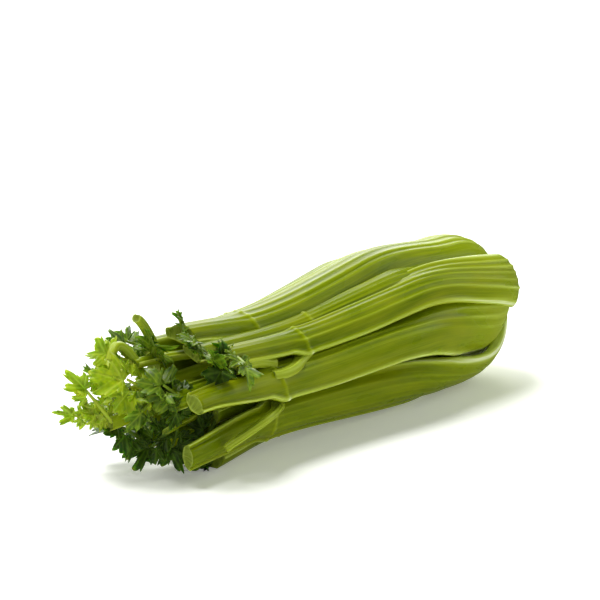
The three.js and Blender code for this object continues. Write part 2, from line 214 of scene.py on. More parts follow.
def stalkMaterial(name, look):
    # green skin, paler towards the butt and on the ribs, with a painted highlight along the margins and the
    # ribs' crests, painted shade in their grooves and fine fibres; olive cut faces with pores, darkened in
    # part as painted shade
    material, nodes, links, shader = newMaterial(name)
    fibres = fibreNoise(nodes, links, look["fibreScale"])
    patches = fibreNoise(nodes, links, look["patchScale"], 2)
    pores = fibreNoise(nodes, links, look["poreScale"], 5, 0.7)
    unevenness = mathNode(nodes, links, "MULTIPLY", mathNode(nodes, links, "SUBTRACT", fibres, 0.5), 0.5)
    pale = mathNode(nodes, links, "ADD", readMark(nodes, "pale"), unevenness, True)
    skin = rampNode(nodes, links, pale, ((0, look["deep"]), (0.35, look["green"]),
                                         (0.72, look["light"]), (1, look["white"])))
    yellowed = rampNode(nodes, links, patches, ((0.4, 0.0), (0.75, 1.0)))
    yellowed = mathNode(nodes, links, "MULTIPLY", yellowed, look["yellowShare"])
    skin = mixColour(nodes, links, yellowed, skin, look["yellow"])
    flesh = rampNode(nodes, links, pores, ((0.3, look["cutDark"]), (0.7, look["cut"])))
    flesh = mixColour(nodes, links, readMark(nodes, "rim"), flesh, look["cutRim"])
    colour = mixColour(nodes, links, readMark(nodes, "cut"), skin, flesh)
    links.new(colour, shader.inputs["Base Color"])
    roughness = rampNode(nodes, links, patches, ((0.3, look["roughness"] - 0.07),
                                                 (0.8, look["roughness"] + 0.1)))
    roughness = mixColour(nodes, links, readMark(nodes, "cut"), roughness, (look["cutRoughness"],) * 3)
    links.new(roughness, shader.inputs["Roughness"])
    shader.inputs["Subsurface Weight"].default_value = look["glow"]
    shader.inputs["Subsurface Radius"].default_value = (0.6, 1.0, 0.15)
    shader.inputs["Subsurface Scale"].default_value = 3 * mm
    shader.inputs["Specular IOR Level"].default_value = look["gloss"]
    relief = nodes.new("ShaderNodeBump")
    relief.inputs["Strength"].default_value = 0.35
    relief.inputs["Distance"].default_value = 0.25 * mm
    height = mathNode(nodes, links, "ADD", fibres, mathNode(nodes, links, "MULTIPLY", pores, 0.25))
    links.new(height, relief.inputs["Height"])
    links.new(relief.outputs[0], shader.inputs["Normal"])
    return material


outerLook = {
    "deep": (0.10, 0.148, 0.0005),
    "green": (0.235, 0.30, 0.002),
    "light": (0.44, 0.54, 0.07),
    # the top of the skin's ramp: the pale butt end's own colour, and the painted highlight on the margins
    # and rib crests
    "white": (0.76, 0.83, 0.50),
    "yellow": (0.32, 0.34, 0.001),
    # The cut faces' colours are partly the olive flesh and partly painted shade: they are darkened for the
    # shadow at the leafy end, the pores' dark dots included.
    "cut": (0.24, 0.31, 0.03),
    "cutDark": (0.12, 0.16, 0.006),
    "cutRim": (0.38, 0.46, 0.09),
    "roughness": 0.3,
    "cutRoughness": 0.55,
    "glow": 0.1,  # how much light goes through the skin
    "gloss": 0.13,
    "yellowShare": 0.45,
    # across, along and through the stalk, in noise cells per millimetre
    "fibreScale": (1.6, 0.02, 1.3),
    "patchScale": (0.09, 0.025, 0.3),
    "poreScale": (1.1, 1.1, 1.1),
}
innerLook = {
    **outerLook,
    "deep": (0.13, 0.20, 0.001),
    "green": (0.28, 0.38, 0.006),
    "light": (0.48, 0.58, 0.09),
    "yellow": (0.42, 0.46, 0.01),
}
outerSkin = stalkMaterial("celerySkin", outerLook)
innerSkin = stalkMaterial("celeryInnerSkin", innerLook)

# From the outermost in. middle: angle at mid-length. depth: how far inside the girth it lies there.
# half: half its width there. base: half its width at the bulge. twist: how far its ribbed back is turned.
# node, end: s of its joint and of its cut. flare: how far its cut end leans out. ribs: where its back's
# ribs are centred. ribbed: how strong they are. tongue: the share of its width left at its cut end.
# sides: the side stems that leave at its node, to its higher side, 1, or its lower, -1.
stalks = [
    {"name": "stalk_front_upper", "middle": 43, "depth": 0, "half": 13, "base": 16, "twist": -18,
     "node": 213, "end": 268, "flare": 2, "ribs": 0.12,
     "sides": [{"to": -1, "length": 34, "spread": 7, "rise": 3, "radius": 3.8}]},
    {"name": "stalk_far_upper", "middle": 160, "depth": 0.5, "half": 14.5, "base": 23, "node": 215,
     "end": 270, "sides": [{"to": 1, "length": 40, "spread": 9, "rise": 3, "radius": 3.4}]},
    {"name": "stalk_front_lower", "middle": -45, "depth": 3.5, "half": 14.5, "base": 20, "twist": -34,
     "node": 232, "end": 304, "ribbed": 0.35, "tongue": 0.62,
     "sides": [{"to": 1, "length": 52, "spread": 17, "rise": 9, "curl": 14, "radius": 2.8},
               {"to": -1, "length": 34, "spread": 5.5, "rise": 4, "radius": 2.8}]},
    {"name": "stalk_top", "middle": 82, "depth": -1.5, "half": 17, "base": 22, "twist": 14, "node": 232,
     "end": 278, "flare": 3, "ribs": 0.2},
    {"name": "stalk_far_lower", "middle": -124, "depth": 0.5, "half": 14.5, "node": 220, "end": 278,
     "sides": [{"to": -1, "length": 36, "spread": 8, "rise": 3, "radius": 3.4}]},
    {"name": "stalk_front_middle", "middle": 12, "depth": -0.5, "half": 14.5, "base": 25, "twist": -34,
     "node": 240, "end": 306, "ribs": 0.3, "ribbed": 0.6, "tongue": 0.6,
     "sides": [{"to": 1, "length": 30, "spread": 5, "rise": 2, "radius": 3.2}]},
    {"name": "stalk_top_far", "middle": 120, "depth": 0, "half": 14.5, "node": 222, "end": 286,
     "flare": 2, "sides": [{"to": 1, "length": 38, "spread": 8, "rise": 4, "radius": 3.4}]},
    {"name": "stalk_underside", "middle": -78, "depth": 0.5, "half": 14.5, "node": 214, "end": 270,
     "flare": 3},
    {"name": "stalk_upper_inner", "middle": 58, "depth": 2.5, "half": 10.5, "node": 197, "end": 287,
     "flare": 2, "ribbed": 0.45,
     "sides": [{"to": 1, "length": 52, "spread": 4, "rise": 1, "radius": 3}]},
    {"name": "stalk_far_middle", "middle": -163, "depth": 1.5, "half": 13, "node": 215, "end": 276},
    {"name": "inner_stalk_lower", "middle": -46, "depth": 16.5, "half": 9, "node": 206, "end": 268,
     "flare": -2},
    {"name": "inner_stalk_top", "middle": 99, "depth": 16, "half": 9, "node": 200, "end": 308,
     "flare": 8},
    {"name": "inner_stalk_far", "middle": -131, "depth": 16, "half": 9, "node": 205, "end": 300,
     "flare": 1},
    {"name": "inner_stalk_front", "middle": 26, "depth": 16.5, "half": 8.5, "node": 210, "end": 300,
     "flare": -2},
    {"name": "inner_stalk_back", "middle": 156, "depth": 16.5, "half": 8.5, "node": 196, "end": 298,
     "flare": 2},
    {"name": "heart_stalk_lower", "middle": -64, "depth": 27, "half": 5.4, "node": 180, "end": 298,
     "flare": 1},
    {"name": "heart_stalk_upper", "middle": 60, "depth": 27, "half": 5.4, "node": 184, "end": 310,
     "flare": 3},
    {"name": "heart_stalk_far", "middle": 178, "depth": 27.5, "half": 5, "node": 176, "end": 322,
     "flare": 1},
]
section = {
    "buttHalf": 17.5,  # half an outermost stalk's width where it clasps the butt, in mm
    "buttHalfStep": 0.8,  # and how much less at each layer in
    "bulgeHalf": 23,  # half a stalk's width at the bulge
    "mostOfRadius": 0.95,  # which is no more than this share of the layer's radius there
    "buttThickness": 4.6,
    "bulgeThickness": 6.4,
    "middleThickness": 0.56,  # at mid-length, as a share of half its width
    "mostThickness": 8.6,
    "heel": 7,  # how much thicker inwards an outer stalk is low down, where there is room behind it
    "heelLayers": 3,
    "bulgeCurve": 36,  # the radius that an outermost stalk is bent to at the bulge
    "bulgeCurveStep": 4,
    "squareness": 0.55,  # 1 would make the section an ellipse, and less makes it fuller
    "wander": 0.7,  # how far a stalk weaves from side to side, in degrees
    "waviness": 0.018,  # how much its width varies, as a share of it
    "cutDish": 0.5,  # how hollow its cut faces are, in mm
}
ribbing = {
    "count": 5,  # ribs on a stalk's back
    "reach": 0.46,  # the share of the back's width that they cover
    "width": 0.05,
    "height": 0.6,  # at mid-length, in mm
    "baseHeight": 0.8,  # at the butt
    "marginHeight": 1.4,  # the round ridge along each edge
    "flankDepth": 0.5,  # the hollow inside that ridge
    "nodeHeight": 0.6,
}


def wrapAngle(angle):
    return (angle + 180) % 360 - 180


def girth(s):
    # the head's radius: full at the shoulder, least at the waist and a little more at the mouth
    waist = mix(head["bulgeRadius"], head["waistRadius"], smooth(head["shoulderEnd"], head["waistAt"], s))
    return waist + (head["mouthRadius"] - head["waistRadius"]) * smooth(head["waistAt"], head["mouthAt"], s)


def backLine(order, stalk, baseSteps, steps):
    # a quarter ellipse from the butt to the bulge, then the head's girth less the stalk's depth in it
    layer = order // head["stalksPerLayer"]
    startAngle = np.radians(head["baseSlope"] + head["baseSlopeStep"] * layer)
    r0 = head["buttRadius"] - head["baseStep"] * layer
    r1 = head["bulgeRadius"] - head["layerStep"] * layer
    s0 = 1 + head["layerRise"] * layer
    a = np.linspace(startAngle, np.pi / 2, baseSteps, endpoint=False)
    baseS = s0 + (head["bulgeAt"] - s0) * (np.cos(startAngle) - np.cos(a)) / np.cos(startAngle)
    baseR = r1 - (r1 - r0) * (1 - np.sin(a)) / (1 - np.sin(startAngle))
    node, end = stalk["node"], stalk["end"]
    s = np.concatenate([np.linspace(head["bulgeAt"], node - 8, steps, endpoint=False),
                        np.linspace(node - 8, node + 12, steps // 4, endpoint=False),
                        np.linspace(node + 12, end, steps // 3)])
    depth = mix(head["layerStep"] * layer, stalk["depth"], smooth(head["bulgeAt"], 135, s))
    r = girth(s) - depth + stalk.get("flare", 0) * smooth(node - 15, end, s)
    s, r = np.concatenate([baseS, s]), np.concatenate([baseR, r])
    phase = wrapAngle(head["firstAngle"] + head["divergence"] * order)
    angle = phase + wrapAngle(stalk["middle"] - phase) * smooth(10, 120, s)
    angle = angle + head["swirl"] * smooth(190, 300, s)
    return s, r, np.radians(angle)


def sectionAt(order, stalk, s):
    # half the width, the thickness and the curve's radius along a stalk, each blended from its value at the
    # butt to those at the bulge and at mid-length, and the width drawn in beyond the node
    layer = order // head["stalksPerLayer"]
    half, node = stalk["half"], stalk["node"]
    atButt = section["buttHalf"] - section["buttHalfStep"] * layer
    layerRadius = head["bulgeRadius"] - head["layerStep"] * layer
    atBulge = min(stalk.get("base", section["bulgeHalf"]), section["mostOfRadius"] * layerRadius)
    width = mix(atButt, atBulge, np.clip(s / head["bulgeAt"], 0, 1) ** 0.8)
    width = mix(width, half, smooth(48, 150, s)) * (1 - 0.1 * smooth(150, node, s))
    width = width * (1 + 0.06 * smooth(node - 8, node, s) - 0.3 * smooth(node - 1, node + 12, s))
    width = width * mix(1, stalk.get("tongue", 0.9), smooth(node + 6, stalk["end"], s))
    atMiddle = min(half * section["middleThickness"], section["mostThickness"])
    thickness = mix(section["buttThickness"], section["bulgeThickness"], smooth(0, 50, s))
    thickness = mix(thickness, atMiddle, smooth(50, 150, s)) * (1 + 0.1 * smooth(node - 4, node + 3, s))
    if layer < section["heelLayers"]:
        thickness = thickness + section["heel"] * smooth(2, 8, s) * (1 - smooth(14, 60, s))
    buttCurve = head["buttRadius"] - head["baseStep"] * layer
    curve = mix(buttCurve, section["bulgeCurve"] - section["bulgeCurveStep"] * layer, smooth(4, 30, s))
    curve = mix(curve, half * 1.05, smooth(45, 150, s))
    curve = mix(curve, half * 0.78, smooth(node, node + 15, s))
    return width, thickness, np.maximum(curve, width / 1.35)


def ribShape(u, s, stalk, seed):
    # bell-shaped ribs side by side across the back, a round ridge at each margin and a hollow flank between
    rng = np.random.default_rng(seed)
    centres = np.linspace(-1, 1, ribbing["count"]) * ribbing["reach"] + stalk.get("ribs", 0)
    centres = centres + rng.uniform(-0.03, 0.03, ribbing["count"])
    tall = rng.uniform(0.45, 1.0, ribbing["count"])
    ribs = sum(h * bump(u, c, ribbing["width"]) for c, h in zip(centres, tall)) - 0.3
    ribs = ribs * stalk.get("ribbed", 1)
    strength = mix(ribbing["baseHeight"], ribbing["height"], smooth(25, 120, s))
    margin = bump(np.abs(u), 0.88, 0.1) * ribbing["marginHeight"] * smooth(35, 120, s)
    flank = -ribbing["flankDepth"] * bump(np.abs(u), 0.66, 0.13) * smooth(35, 120, s)
    ribs = ribs * (1 - 0.65 * smooth(stalk["node"], stalk["node"] + 10, s))
    return ribs * strength + margin + flank, ribs


def stalkPart(order, stalk, fine):
    # a gutter: round its section, u = cos a goes across and sin a, made fuller, through the thickness; the
    # section is bent to an arc, turned by the twist and carried along the back line square to its slope
    seed = 11 + order
    s, r, angle = backLine(order, stalk, 30 if fine else 14, 96 if fine else 48)
    phase = 1.7 * order
    angle = angle + np.radians(section["wander"]) * np.sin(s / 31 + phase) * smooth(60, 120, s)
    width, thickness, curve = sectionAt(order, stalk, s)
    width = width * (1 + section["waviness"] * np.sin(s / 21 + 2 * phase))
    slope = np.gradient(r, s)
    ts, tr = 1 / np.hypot(1, slope), slope / np.hypot(1, slope)  # the back line's way along s and along r
    # rho is 1 on the skin and falls to 0 over each cut face, where the section closes on its middle line
    close = np.array([0.97, 0.9, 0.72, 0.5, 0.25, 0.0])
    rows = np.concatenate([np.zeros(len(close), int), np.arange(len(s)), np.full(len(close), len(s) - 1)])
    rho = np.concatenate([close[::-1], np.ones(len(s)), close])[:, None]
    s, r, angle, width, thickness, curve, ts, tr = (
        v[rows][:, None] for v in (s, r, angle, width, thickness, curve, ts, tr))
    count = 168 if fine else 72
    a = (np.arange(count) * 2 * np.pi / count)[None, :]
    u = np.cos(a)
    side = np.sign(np.sin(a)) * np.abs(np.sin(a)) ** section["squareness"]
    back = smooth(0.0, 0.35, np.sin(a))
    relief, ribs = ribShape(u, s, stalk, seed)
    ring = bump(s + 2.2 * u * u, stalk["node"], 1.3)
    out = side * rho * thickness / 2 * (1 - 0.35 * u * u * smooth(20, 90, s))
    out = out + (relief * back + ring * ribbing["nodeHeight"] * mix(0.4, 1, back)) * rho ** 4
    psi = u * width * (1 - 0.06 * (1 - rho)) / curve
    rad = curve + out
    across, outward = rad * np.sin(psi), rad * np.cos(psi) - curve
    turned = np.radians(stalk.get("twist", 0)) * smooth(60, 150, s)
    w = across * np.cos(turned) - outward * np.sin(turned)
    o = across * np.sin(turned) + outward * np.cos(turned) - thickness / 2
    atEnd = smooth(stalk["end"] - 22, stalk["end"], s)
    rng = np.random.default_rng(seed)
    slant = rng.uniform(-0.22, 0.22) * w + rng.uniform(-0.1, 0.25) * o
    dish = (1 - rho ** 2) * (section["cutDish"] + 0.25 * np.sin(4 * u * np.pi + phase))
    s2 = s + slant * atEnd + np.where(s > 100, -dish, dish)
    points = place(s2 - o * tr, r + o * ts, angle, w)
    towardButt = 1 - smooth(20, 115, s)
    top = smooth(stalk["node"] - 60, stalk["end"], s)
    # The pale mark: the back's round margins are made paler as a painted highlight. The ribs are paler on
    # their crests and darker in their grooves, partly from their own paler strings and partly as painted
    # highlight and painted shade. The butt end and the node ring are paler in their own colour.
    ribAndMarginSheen = 0.42 * np.clip(ribs, -0.3, 1) + 0.62 * bump(np.abs(u), 0.9, 0.11)
    pale = 0.22 + 0.26 * towardButt + back * ribAndMarginSheen + 0.16 * (1 - back) - 0.1 * top + 0.28 * ring
    rim = np.clip((rho - 0.55) / 0.45, 0, 1) ** 2
    marks = {"pale": np.clip(pale, 0, 1), "cut": rho <= 0.96, "rim": rim,
             "acrossMm": u * width, "alongMm": s, "sideMm": 3 * np.sin(a) + 7.3 * order}
    return gridPart(points, marks)


def sweepPart(path, radius, pale, seed, groove=0.3, count=40):
    # a round stem: a circle of the given radius, less a groove and plus nine fine ribs, carried along the
    # path square to it; rho is 1 on the skin and falls to 0 over the cut face at the tip
    along = np.gradient(path, axis=0)
    along = along / np.linalg.norm(along, axis=1)[:, None]
    side = np.cross([0, 0, 1], along)
    side = side / np.linalg.norm(side, axis=1)[:, None]
    up = np.cross(along, side)
    close = np.array([0.97, 0.88, 0.66, 0.33, 0.0])
    rows = np.concatenate([[0], np.arange(len(path)), np.full(len(close), len(path) - 1)])
    rho = np.concatenate([[0.0], np.ones(len(path)), close])[:, None]
    a = (np.arange(count) * 2 * np.pi / count)[None, :]
    fromTop = np.abs((a - np.pi / 2 + np.pi) % (2 * np.pi) - np.pi)
    ribs = 0.5 + 0.5 * np.cos(9 * a + seed)
    path, along, side, up = (v[rows][:, None, :] for v in (path, along, side, up))
    radius, rows = radius[rows][:, None], rows[:, None]
    reach = radius * rho * (1 - groove * bump(fromTop, 0, 0.5)) * (1 + 0.035 * ribs)
    dish = -0.6 * (1 - rho ** 2) * (rows > 0)
    points = path + side * (reach * np.cos(a))[..., None] + up * (reach * np.sin(a))[..., None]
    points = points + along * dish[..., None]
    marks = {"pale": np.clip(pale + 0.16 * ribs, 0, 1), "cut": rho < 0.96,
             "rim": np.clip((rho - 0.5) / 0.5, 0, 1) ** 2,
             "acrossMm": radius * a, "alongMm": rows, "sideMm": seed + 2 * np.sin(a)}
    return gridPart(points, marks)


sideStem = {
    "below": 8,  # how far under the stalk's back it starts, in mm
    "outwards": 0.62,  # and how far from the back's middle, as a share of half the stalk's width
    "bowTurn": 2.2,  # how much of a sine's turn it bows through, in radians
    "taper": 0.15,
    "swelling": 0.35,  # how much thicker it is where it leaves the node
    "pale": 0.42,
}


def sideStemPart(order, stalk, stem):
    # leaves the node inside the margin and bows outwards by a sine, and its curl brings it back by a cube
    t = np.linspace(0, 1, 40)
    bow, curl = np.sin(sideStem["bowTurn"] * t), stem.get("curl", 0) * t ** 3
    r = girth(stalk["node"]) - stalk["depth"] - sideStem["below"] + stem["rise"] * bow + 0.25 * curl
    across = stem["to"] * (stalk["half"] * sideStem["outwards"] + stem["spread"] * bow - curl)
    path = place(stalk["node"] - 3 + stem["length"] * t, r, np.radians(stalk["middle"]), across)
    radius = stem["radius"] * (1 - sideStem["taper"] * t + sideStem["swelling"] * bump(t, 0, 0.12))
    return sweepPart(path, radius, sideStem["pale"], 3 + order)


for order, stalk in enumerate(stalks):
    outer = order < head["outerStalks"]
    parts = [stalkPart(order, stalk, outer)]
    parts += [sideStemPart(order, stalk, stem) for stem in stalk.get("sides", [])]
    skin, slotName = (outerSkin, "outer_stalk") if outer else (innerSkin, "inner_stalk")
    makePiece(stalk["name"], parts, skin)
print("stalks made:", len(stalks))

# on, back: the stalk it grows from and how far short of that stalk's cut end. tip: its far end as
# (s, angle, r). width: across the blade, or 0 for a bare stem. stem: the share of its length that is stem.
# bow: how far its midrib arches away from the axis. roll: the blade's turn about it, in degrees.
# Leaves given a dark or middle shading are darker copies of the blade, for those that lie in the tuft's
# shadow. Their colour is partly the darker green of outer leaves and partly painted shade. The rest are
# bright.
leaves = [
    {"name": "leaf_large_bright", "on": "heart_stalk_upper", "back": 2, "tip": (335, 114, 33),
     "width": 32, "stem": 0.25, "bow": 4, "roll": -62},
    {"name": "leaf_upper_tip", "on": "inner_stalk_top", "back": 2, "tip": (331, 117, 44), "width": 20,
     "stem": 0.4, "bow": 1, "roll": -50},
    {"name": "leaf_curled", "on": "heart_stalk_far", "back": 2, "tip": (337, 131, 38), "width": 17,
     "stem": 0.4, "bow": 5, "roll": -70},
    {"name": "leaf_curled_low", "on": "heart_stalk_far", "back": 4, "tip": (336, 160, 24), "width": 12,
     "stem": 0.4, "bow": 2, "roll": -60},
    {"name": "leaf_thin", "on": "heart_stalk_far", "back": 3, "tip": (342, 171, 37), "width": 11,
     "stem": 0.45, "bow": 2, "roll": -80},
    {"name": "leaf_dark_tip", "on": "inner_stalk_far", "back": 2, "tip": (329, 172, 22), "width": 22,
     "stem": 0.35, "bow": -4, "roll": -60, "paintedShading": "dark"},
    {"name": "leaf_heart_tip", "on": "heart_stalk_upper", "back": 3, "tip": (330, -20, 7), "width": 18,
     "stem": 0.3, "bow": 2, "roll": -70, "paintedShading": "middle"},
    {"name": "leaf_middle", "on": "inner_stalk_front", "back": 2, "tip": (320, 84, 25), "width": 24,
     "stem": 0.25, "bow": 4, "roll": -55, "paintedShading": "middle"},
    {"name": "leaf_cluster", "on": "inner_stalk_top", "back": 16, "tip": (309, 78, 44), "width": 22,
     "stem": 0.3, "bow": 2, "roll": -45, "paintedShading": "middle"},
    {"name": "leaf_over_front", "on": "stalk_upper_inner", "back": 2, "tip": (286, 27, 50), "width": 22,
     "stem": 0.2, "bow": 4, "roll": -35, "paintedShading": "middle"},
    {"name": "leaf_star", "on": "stalk_front_upper", "back": 3, "tip": (279, 20, 54), "width": 15,
     "stem": 0.3, "bow": 3, "roll": -30, "paintedShading": "middle"},
    {"name": "leaf_pale", "on": "stalk_upper_inner", "back": 6, "tip": (298, 68, 48), "width": 18,
     "stem": 0.25, "bow": 3, "roll": -30, "paintedShading": "middle"},
    {"name": "leaf_fan", "on": "stalk_top", "back": 2, "tip": (290, 82, 55), "width": 14, "stem": 0.6,
     "bow": -3, "roll": -60, "paintedShading": "middle"},
    {"name": "leaf_low_first", "on": "heart_stalk_lower", "back": 2, "tip": (306, -124, 35),
     "width": 24, "stem": 0.25, "bow": 3, "roll": -70, "paintedShading": "dark"},
    {"name": "leaf_low_second", "on": "heart_stalk_lower", "back": 8, "tip": (297, -92, 34),
     "width": 24, "stem": 0.2, "bow": 3, "roll": -95, "paintedShading": "dark"},
    {"name": "leaf_low_third", "on": "inner_stalk_lower", "back": 2, "tip": (292, -80, 34), "width": 24,
     "stem": 0.2, "bow": 3, "roll": -75, "paintedShading": "dark"},
    {"name": "leaf_under_front", "on": "stalk_underside", "back": 2, "tip": (284, -80, 36), "width": 20,
     "stem": 0.2, "bow": 0, "roll": -100, "paintedShading": "dark"},
    {"name": "leaf_gap", "on": "inner_stalk_front", "back": 8, "tip": (308, 92, 18), "width": 22,
     "stem": 0.2, "bow": -3, "roll": -70, "paintedShading": "dark"},
    {"name": "leaf_inner_middle", "on": "stalk_front_upper", "back": 6, "tip": (298, 20, 31),
     "width": 22, "stem": 0.15, "bow": -3, "roll": -60, "paintedShading": "dark"},
    {"name": "leaf_inner_low", "on": "inner_stalk_front", "back": 3, "tip": (305, -36, 15), "width": 24,
     "stem": 0.2, "bow": 2, "roll": -70, "paintedShading": "dark"},
    {"name": "leaf_far_upper", "on": "inner_stalk_back", "back": 2, "tip": (322, 146, 43), "width": 24,
     "stem": 0.35, "bow": 4, "roll": 10, "paintedShading": "middle"},
    {"name": "leaf_far_lower", "on": "stalk_far_middle", "back": 2, "tip": (312, -156, 43), "width": 22,
     "stem": 0.3, "bow": 3, "roll": -20, "paintedShading": "dark"},
    {"name": "leaf_far_middle", "on": "inner_stalk_back", "back": 4, "tip": (328, 186, 33), "width": 24,
     "stem": 0.35, "bow": 4, "roll": 15},
    {"name": "leaf_far_top", "on": "stalk_top_far", "back": 2, "tip": (313, 126, 46), "width": 20,
     "stem": 0.25, "bow": 3, "roll": -30, "paintedShading": "middle"},
    {"name": "side_stem_forked", "on": "inner_stalk_top", "back": 20, "tip": (303, 101, 51), "width": 0,
     "stem": 1, "bow": 4, "roll": 0},
    {"name": "side_stem_bent", "on": "inner_stalk_top", "back": 4, "tip": (320, 112, 33), "width": 0,
     "stem": 1, "bow": 9, "roll": 0},
]
blade = {
    # each lobe's degrees from the midrib, about the point where the veins part, and how far it reaches
    "lobes": ((0, 1), (47, 0.92), (-47, 0.92), (100, 0.7), (-100, 0.7)),
    "lobeSpread": 25,
    "sinus": 0.42,  # how far the outline reaches between lobes, where the end lobe's tip is 1
    "veinsPart": 0.27,  # where the veins part, as a share of the blade's length
    "teeth": 19,
    "toothDepth": 0.2,
    "fold": 0.44,  # how steeply each half rises from the midrib
    "easing": 0.16,  # and how soon it levels off
    "waves": 4,  # round the blade
    "waveHeight": 0.26,  # as a share of half its width
    "crinkles": 13,
    "crinkleHeight": 0.06,
    "veinDepth": 0.2,
    "veinWidth": 0.5,  # the midrib's, in mm
    "sideVeinWidth": 0.35,
    "branches": 14,  # fine veins that branch from the midrib
    "breadth": 1.3,  # how far a whole lobe would reach sideways, as a share of half the leaf's width
    "thickness": 0.5,
    "stemRadius": 1.3,
    "bareStemRadius": 2.8,
    "longest": 1.3,  # a smaller leaflet's most length, as a share of half the leaf's width
    # each smaller leaflet: how far up the stem, its degrees from the midrib and its size
    "leaflets": ((0.97, 62, 0.86), (0.95, -58, 0.8), (0.6, 80, 0.66), (0.55, -84, 0.62),
                 (0.25, 70, 0.46), (0.2, -66, 0.5)),
}


leafFinish = {
    "mottleScale": 260,  # noise cells per metre
    "cellScale": 900,
    "roughness": 0.38,
    "glow": 0.3,  # how much light goes through the blade
    "gloss": 0.3,
    "relief": 0.4,
}


def leafMaterial(name, look):
    # a satin blade, paler along its veins and mottled between them, with fine cells in relief
    material, nodes, links, shader = newMaterial(name)
    place3d = nodes.new("ShaderNodeTexCoord").outputs["Object"]
    mottle = nodes.new("ShaderNodeTexNoise")
    mottle.inputs["Scale"].default_value = leafFinish["mottleScale"]
    mottle.inputs["Detail"].default_value = 4
    links.new(place3d, mottle.inputs["Vector"])
    cells = nodes.new("ShaderNodeTexVoronoi")
    cells.inputs["Scale"].default_value = leafFinish["cellScale"]
    links.new(place3d, cells.inputs["Vector"])
    stops = ((0.3, look["deep"]), (0.55, look["green"]), (0.75, look["light"]))
    green = rampNode(nodes, links, mottle.outputs["Fac"], stops)
    colour = mixColour(nodes, links, readMark(nodes, "vein"), green, look["vein"])
    links.new(colour, shader.inputs["Base Color"])
    shader.inputs["Roughness"].default_value = leafFinish["roughness"]
    shader.inputs["Subsurface Weight"].default_value = leafFinish["glow"]
    shader.inputs["Subsurface Radius"].default_value = (0.5, 1.0, 0.1)
    shader.inputs["Subsurface Scale"].default_value = 1.2 * mm
    shader.inputs["Specular IOR Level"].default_value = leafFinish["gloss"]
    relief = nodes.new("ShaderNodeBump")
    relief.inputs["Strength"].default_value = leafFinish["relief"]
    relief.inputs["Distance"].default_value = 0.2 * mm
    height = mathNode(nodes, links, "SUBTRACT", cells.outputs["Distance"], readMark(nodes, "vein"))
    links.new(height, relief.inputs["Height"])
    links.new(relief.outputs[0], shader.inputs["Normal"])
    return material


# The bright blade and two darker copies of it, the middle and the dark. Their darkness is partly the darker
# green of outer leaves and partly painted shade for leaves deep in the tuft.
brightLeaf = leafMaterial("brightLeaf", {
    "deep": (0.15, 0.24, 0.001), "green": (0.30, 0.41, 0.002), "light": (0.44, 0.53, 0.005),
    "vein": (0.50, 0.60, 0.05)})
shadowedDarkLeaf = leafMaterial("shadowedDarkLeaf", {
    "deep": (0.010, 0.03, 0.001), "green": (0.03, 0.07, 0.002), "light": (0.08, 0.14, 0.003),
    "vein": (0.12, 0.20, 0.015)})
halfShadowedLeaf = leafMaterial("halfShadowedLeaf", {
    "deep": (0.035, 0.08, 0.001), "green": (0.09, 0.16, 0.002), "light": (0.20, 0.29, 0.004),
    "vein": (0.28, 0.38, 0.03)})
leafPaintedShadings = {"bright": brightLeaf, "middle": halfShadowedLeaf, "dark": shadowedDarkLeaf}
stalkByName = {stalk["name"]: (order, stalk) for order, stalk in enumerate(stalks)}


def midrib(leaf, t):
    # a quadratic curve from inside its stalk's cut end to its tip, arched away from the head's axis
    order, stalk = stalkByName[leaf["on"]]
    s, r, angle = backLine(order, stalk, 4, 12)
    thickness = sectionAt(order, stalk, s)[1]
    start = place(s[-1] - leaf["back"], r[-1] - thickness[-1] / 2, angle[-1])
    tipS, tipAngle, tipR = leaf["tip"]
    tip = place(tipS, tipR, np.radians(tipAngle))
    middle = (start + tip) / 2
    away = np.array([0, middle[1], middle[2] - head["droop"] * middle[0]])
    bend = middle + 2 * leaf["bow"] * away / np.linalg.norm(away)
    t = np.asarray(t, float)[..., None]
    return (1 - t) ** 2 * start + 2 * t * (1 - t) * bend + t * t * tip


def unit(v):
    return v / np.linalg.norm(v)


def acrossBlade(leaf, t):
    # level and square to the midrib, then turned about it by the leaf's roll
    along = unit(midrib(leaf, t + 0.01) - midrib(leaf, t - 0.01))
    across = unit(np.cross([0, 0, 1], along))
    roll = np.radians(leaf["roll"])
    return across * np.cos(roll) + np.cross(along, across) * np.sin(roll)


def outlineReach(theta, rng):
    # five bell-shaped lobes over a round middle, cut into teeth that lean forwards; 1 at the end lobe's tip
    degrees = np.degrees(theta)
    reach = np.full_like(theta, blade["sinus"])
    for angle, size in blade["lobes"]:
        centre, spread = angle + rng.uniform(-11, 11), blade["lobeSpread"] * rng.uniform(0.8, 1.25)
        reach = np.maximum(reach, size * rng.uniform(0.78, 1.06) * bump(degrees, centre, spread) ** 0.6)
    tooth = np.mod(np.abs(degrees) / 360 * blade["teeth"] + rng.uniform(0, 1), 1)
    return reach * (1 - blade["toothDepth"] * tooth) * (1 - 0.5 * smooth(150, 178, np.abs(degrees)))


